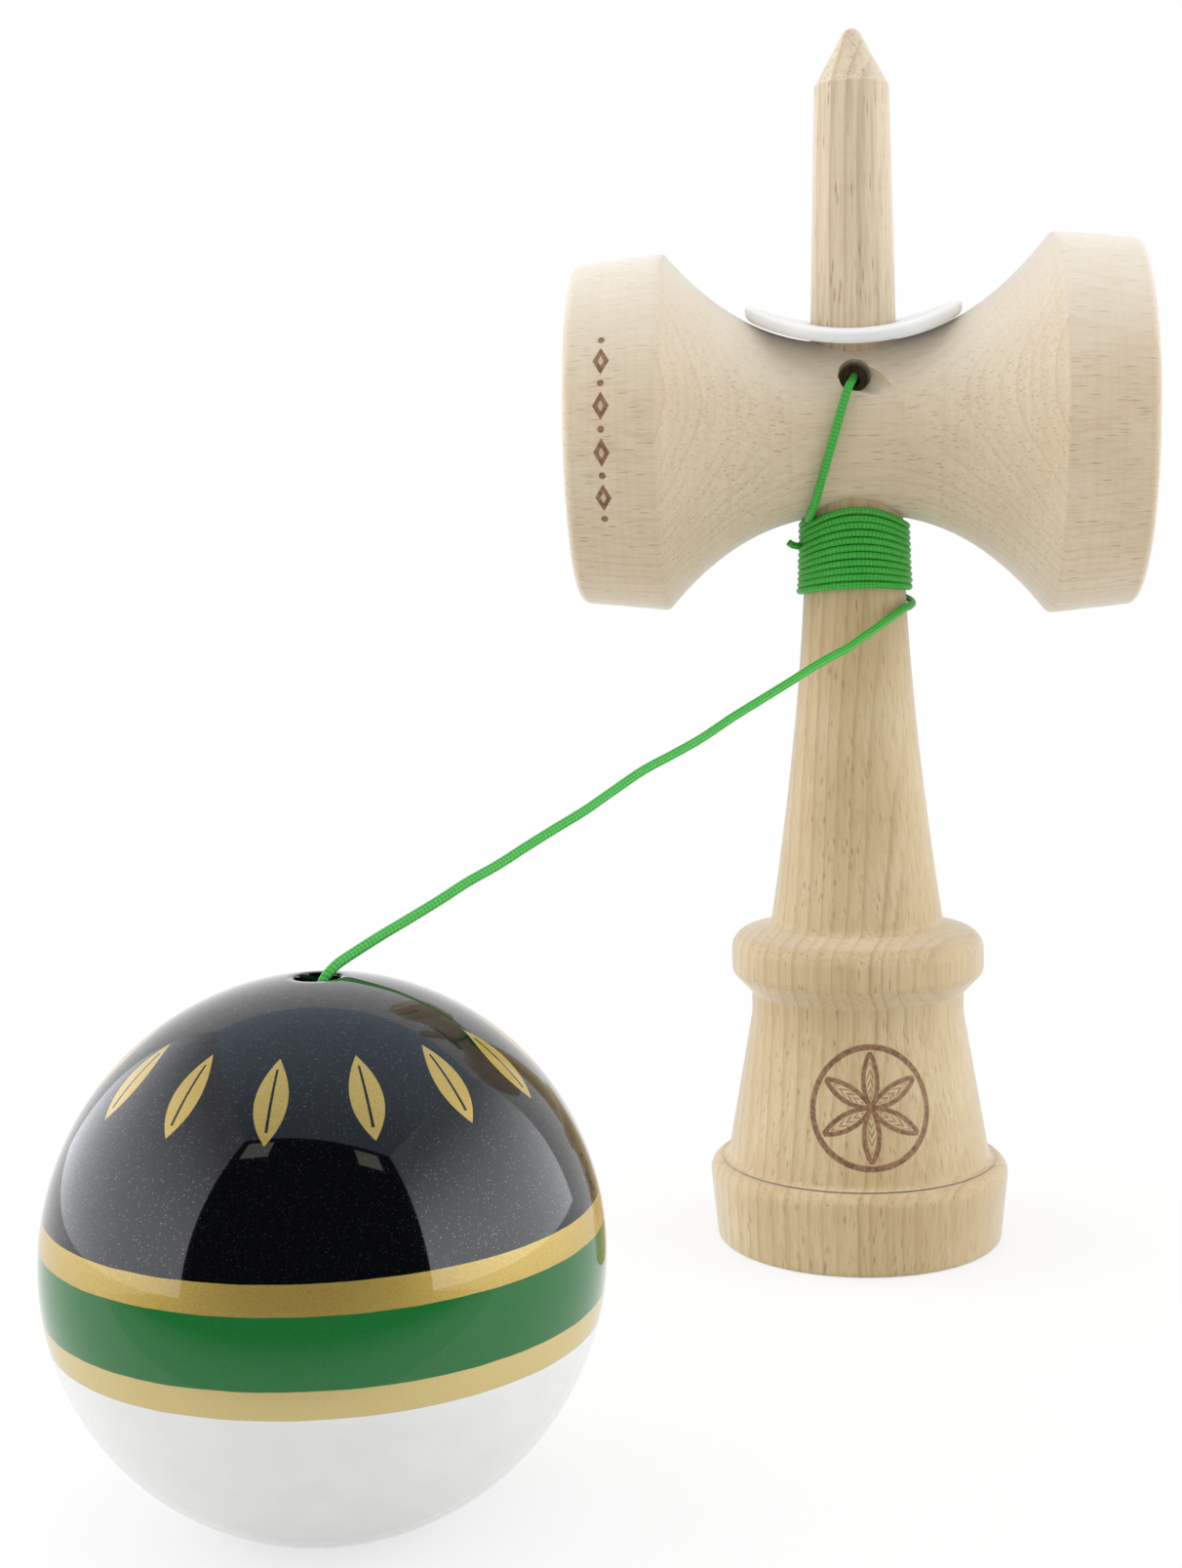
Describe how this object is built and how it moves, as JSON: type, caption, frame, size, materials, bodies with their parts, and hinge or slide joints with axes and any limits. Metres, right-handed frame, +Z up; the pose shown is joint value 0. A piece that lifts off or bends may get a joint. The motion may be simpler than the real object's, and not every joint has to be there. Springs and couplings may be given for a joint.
{
  "type": "kendama",
  "caption": "Wooden cup-and-ball skill toy: a turned handle with side cups, a base cup and a spike, and a lacquered ball with a spike hole, tied on by a string.",
  "frame": {"origin": "on the table, under the middle of the box round the ken and the tama", "axes": "+X along the sarado towards its larger cup, +Y away from the side with the string hole, +Z up along the ken"},
  "size_m": [0.1276, 0.1506, 0.1736],
  "materials": {
    "ken_wood": "sanded bare beech",
    "sarado_wood": "sanded bare beech",
    "washer": "white satin plastic",
    "string": "braided nylon cord",
    "bead_wood": "bare wood",
    "tama_lacquer": "gloss lacquer on wood, black above, white below, gold and green bands"
  },
  "bodies": {
    "ken": {"ken": "ken_wood", "sarado": "sarado_wood", "ken_knot": "string", "string_hitch": "string", "string_winding": "string", "string_lead": "string"},
    "washer": {"spike_washer": "washer"},
    "string": {"string_span": "string", "stop_bead": "bead_wood", "bead_knot": "string"},
    "tama": {"tama": "tama_lacquer"}
  },
  "joints": [
    {"name": "washer_lift", "type": "slide", "parent": "ken", "child": "washer", "axis": [0, 0, 1], "range_m": [0, 0.04]},
    {"name": "string_swing", "type": "hinge", "parent": "ken", "child": "string", "pos_m": [0.02464, 0.03497, 0.0886], "axis": [-0.8096, 0.5869, 0], "range_deg": [-40, 60]},
    {"name": "tama_spin", "type": "hinge", "parent": "string", "child": "tama", "pos_m": [-0.0338, -0.04535, 0.02781], "axis": [0, 0, 1], "continuous": true}
  ]
}
